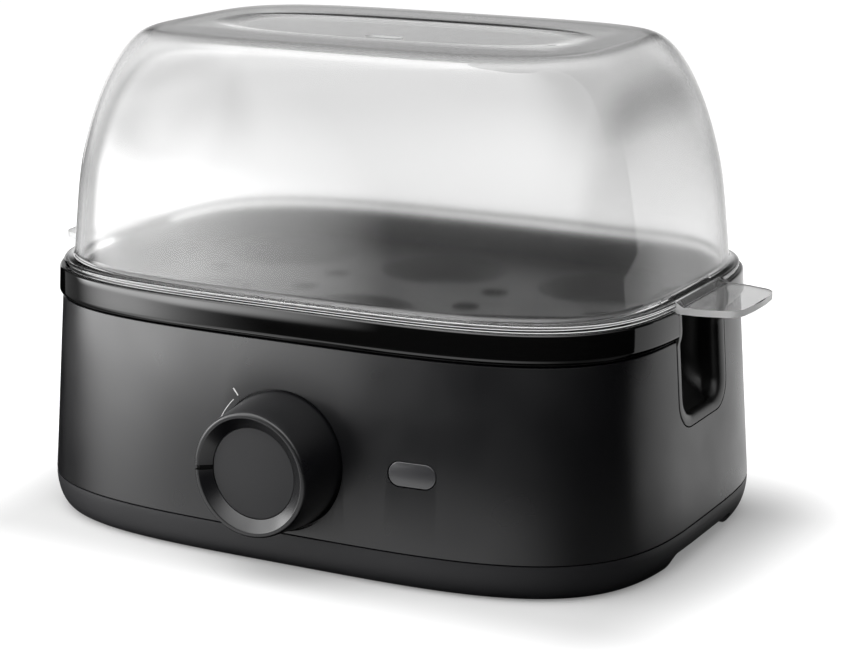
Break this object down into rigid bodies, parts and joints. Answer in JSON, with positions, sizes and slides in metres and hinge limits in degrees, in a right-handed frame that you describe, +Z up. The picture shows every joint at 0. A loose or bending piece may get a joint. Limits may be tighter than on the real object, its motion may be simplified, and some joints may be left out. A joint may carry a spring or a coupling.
{
  "type": "electric egg cooker",
  "caption": "Oblong electric egg cooker with a clear domed lift-off lid, finger tabs, dished egg tray, glossy rim with grip pockets, matt housing and round control knob.",
  "frame": {"origin": "centre of the whole outline, knob included, on the plane that the feet stand on", "axes": "+X along the length to the right of someone facing the knob, -Y towards the knob, +Z up"},
  "size_m": [0.2488, 0.1738, 0.157],
  "materials": {
    "housing_plastic": "fine matt grain, charcoal",
    "base_plastic": "fine matt grain, dark grey",
    "gloss_plastic": "high gloss, black",
    "tray_plastic": "satin, black",
    "clear_plastic": "clear, faintly smoked",
    "knob_plastic": "fine matt grain with polished bevel",
    "dish_metal": "non-stick coated",
    "element_steel": "heat tinted sheath",
    "sheet_steel": "zinc plated",
    "plated_steel": "zinc plated",
    "foot_rubber": "soft matt",
    "silicone": "soft satin",
    "switch_plastic": "moulded black",
    "sleeve_white": "off-white",
    "lens_smoke": "smoked translucent",
    "lamp_glass": "small lamp",
    "board_resin": "coated board"
  },
  "bodies": {
    "base": {"housing": "housing_plastic", "bottom_cover": "base_plastic", "cover_screws": "plated_steel", "rubber_feet": "foot_rubber", "top_frame": "gloss_plastic", "grip_pocket_right": "gloss_plastic", "grip_pocket_left": "gloss_plastic", "heating_plate": "dish_metal", "plate_gasket": "silicone", "plate_screws": "plated_steel", "heating_element": "element_steel", "heat_shield": "sheet_steel", "thermostat": "switch_plastic", "thermostat_clip": "sheet_steel", "thermal_fuse": "sleeve_white", "control_switch": "switch_plastic", "control_nut": "plated_steel", "control_bracket": "sheet_steel", "bracket_screws": "plated_steel", "indicator_lens": "lens_smoke", "indicator_lamp": "lamp_glass", "lamp_holder": "switch_plastic", "control_board": "board_resin", "buzzer": "switch_plastic", "terminal_block": "sleeve_white", "cord_gland": "silicone", "cord_clamp": "switch_plastic", "clamp_screws": "plated_steel"},
    "lid": {"lid": "clear_plastic"},
    "tray": {"egg_tray": "tray_plastic"},
    "knob": {"knob": "knob_plastic", "knob_cap": "knob_plastic", "control_shaft": "plated_steel"}
  },
  "joints": [
    {"name": "lid_lift", "type": "slide", "parent": "base", "child": "lid", "axis": [0, 0, 1], "range_m": [0, 0.1]},
    {"name": "tray_lift", "type": "slide", "parent": "base", "child": "tray", "axis": [0, 0, 1], "range_m": [0, 0.011]},
    {"name": "knob_turn", "type": "hinge", "parent": "base", "child": "knob", "pos_m": [0, -0.06745, 0.0348], "axis": [0, -1, 0], "range_deg": [-50, 50]}
  ]
}
